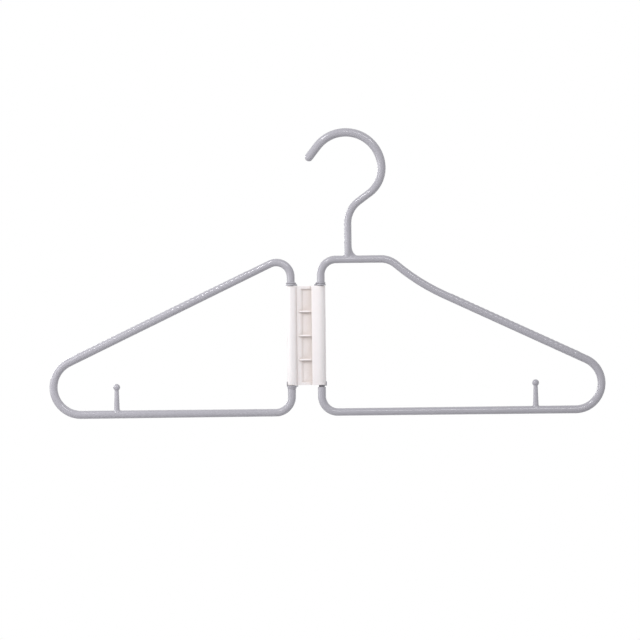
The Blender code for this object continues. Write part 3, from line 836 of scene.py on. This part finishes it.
def painted_shade_factor(tree, reach, openness, tone):
    """Painted shade: a colour factor that is one on open surfaces and darker in grooves and
    recesses.
    """
    hidden = tree.nodes.new("ShaderNodeAmbientOcclusion")
    hidden.samples = PAINTED_SHADE_SAMPLES
    hidden.inputs["Distance"].default_value = reach
    return ramp(tree, hidden.outputs["AO"], openness, tone, WHITE)


def moulded_plastic(name, tone, variation, roughness, glow, glow_reach, glow_tint,
                    painted_shade_reach, painted_shade_openness, painted_shade_tone):
    """Moulded plastic: clouded tone, fine mottling, painted shade in grooves, uneven gloss,
    ripples.
    """
    material = bpy.data.materials.new(name)
    material.use_nodes = True
    tree = material.node_tree
    shader = tree.nodes["Principled BSDF"]
    place = tree.nodes.new("ShaderNodeTexCoord").outputs["Object"]
    clouds = ramp(tree, noise(tree, place, CLOUD_SCALE, CLOUD_DETAIL), TONE_SPAN,
                  [channel * (1 - variation) for channel in tone],
                  [channel * (1 + variation) for channel in tone])
    mottle = ramp(tree, noise(tree, place, MOTTLE_SCALE, MOTTLE_DETAIL), TONE_SPAN,
                  [channel * (1 - variation / 2) for channel in WHITE],
                  [channel * (1 + variation / 2) for channel in WHITE])
    # Painted shade darkens the colour in grooves, gaps and recesses
    painted_shade_colour = painted_shade_factor(tree, painted_shade_reach, painted_shade_openness, painted_shade_tone)
    toned = multiplied(tree, multiplied(tree, clouds, mottle), painted_shade_colour)
    tree.links.new(toned, shader.inputs["Base Color"])
    gloss = spread(tree, noise(tree, place, GLOSS_SCALE, GLOSS_DETAIL), GLOSS_SPAN, roughness)
    tree.links.new(gloss, shader.inputs["Roughness"])
    bump = tree.nodes.new("ShaderNodeBump")
    bump.inputs["Strength"].default_value = RIPPLE_STRENGTH
    bump.inputs["Distance"].default_value = RIPPLE_DEPTH
    ripples = noise(tree, place, RIPPLE_SCALE, RIPPLE_DETAIL)
    tree.links.new(ripples, bump.inputs["Height"])
    tree.links.new(bump.outputs["Normal"], shader.inputs["Normal"])
    shader.inputs["Metallic"].default_value = 0.0
    shader.inputs["IOR"].default_value = PLASTIC_IOR
    shader.inputs["Subsurface Weight"].default_value = glow
    shader.inputs["Subsurface Scale"].default_value = glow_reach
    shader.inputs["Subsurface Radius"].default_value = glow_tint
    return material


def dress(piece, material, node):
    """Shade a moulding, put it on its body and let it stand for its CAD node."""
    mesh = piece.data
    mesh.shade_smooth()
    mesh.set_sharp_from_angle(angle=SMOOTH_ANGLE)
    mesh.materials.clear()
    mesh.materials.append(material)
    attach(piece, node)
    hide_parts(node)


def make_light(name, toward, distance, width, height, power):
    """Rectangular soft light that faces the middle of the picture."""
    data = bpy.data.lights.new(name, "AREA")
    data.shape = "RECTANGLE"
    data.size = width
    data.size_y = height
    data.energy = power
    light = bpy.data.objects.new(name, data)
    bpy.context.scene.collection.objects.link(light)
    direction = Vector(toward).normalized()
    light.location = PICTURE_CENTRE + direction * distance
    light.rotation_euler = direction.to_track_quat("Z", "Y").to_euler()


def make_world():
    """White to the camera and in reflections, and a soft even fill for the surfaces."""
    world = bpy.data.worlds.new("studio")
    bpy.context.scene.world = world
    world.use_nodes = True
    tree = world.node_tree
    tree.nodes.clear()
    path = tree.nodes.new("ShaderNodeLightPath")
    seen = path.outputs["Is Camera Ray"]
    for kind in ("Is Glossy Ray", "Is Transmission Ray"):
        either = tree.nodes.new("ShaderNodeMath")
        either.operation = "MAXIMUM"
        tree.links.new(seen, either.inputs[0])
        tree.links.new(path.outputs[kind], either.inputs[1])
        seen = either.outputs[0]
    strength = tree.nodes.new("ShaderNodeMapRange")
    strength.inputs["To Min"].default_value = WORLD_FILL
    strength.inputs["To Max"].default_value = 1.0
    tree.links.new(seen, strength.inputs["Value"])
    background = tree.nodes.new("ShaderNodeBackground")
    tree.links.new(strength.outputs["Result"], background.inputs["Strength"])
    background.inputs["Color"].default_value = (*WHITE, 1.0)
    output = tree.nodes.new("ShaderNodeOutputWorld")
    tree.links.new(background.outputs["Background"], output.inputs["Surface"])


def make_floor():
    """Pale floor under the hanging hanger, lifted towards white for the camera."""
    bm = bmesh.new()
    bmesh.ops.create_grid(bm, x_segments=1, y_segments=1, size=FLOOR_SIZE / 2)
    floor = make_object("floor", bm)
    floor.location = (PICTURE_CENTRE.x, 0.0, PICTURE_CENTRE.z - FLOOR_DROP)
    material = bpy.data.materials.new("floor_paper")
    material.use_nodes = True
    tree = material.node_tree
    shader = tree.nodes["Principled BSDF"]
    shader.inputs["Base Color"].default_value = (*FLOOR_TONE, 1.0)
    shader.inputs["Roughness"].default_value = FLOOR_ROUGHNESS
    shader.inputs["Emission Color"].default_value = (*WHITE, 1.0)
    path = tree.nodes.new("ShaderNodeLightPath")
    lift = tree.nodes.new("ShaderNodeMapRange")
    lift.inputs["To Max"].default_value = FLOOR_LIFT
    tree.links.new(path.outputs["Is Camera Ray"], lift.inputs["Value"])
    tree.links.new(lift.outputs["Result"], shader.inputs["Emission Strength"])
    floor.data.materials.append(material)


def make_camera():
    """Camera square to the hanger's front, turned as the photograph was."""
    data = bpy.data.cameras.new("camera")
    data.sensor_width = SENSOR_WIDTH_MM
    data.lens = SENSOR_WIDTH_MM * CAMERA_DISTANCE / PICTURE_WIDTH
    data.clip_start = CLIP_START
    data.clip_end = CLIP_END
    camera = bpy.data.objects.new("camera", data)
    bpy.context.scene.collection.objects.link(camera)
    camera.location = PICTURE_CENTRE - BACK * CAMERA_DISTANCE
    camera.rotation_euler = (math.pi / 2, PICTURE_ROLL, 0.0)
    bpy.context.scene.camera = camera


grey = moulded_plastic("grey_plastic", **GREY_LOOK)
white = moulded_plastic("white_plastic", **WHITE_LOOK)
dress(make_hook_wing(), grey, "hook_wing")
dress(make_hinge_block(), white, "hinge_block")
dress(make_plain_wing(), grey, "plain_wing")

for light in LIGHTS:
    make_light(*light)
make_world()
make_floor()
make_camera()
bpy.context.scene.view_settings.view_transform = "Standard"
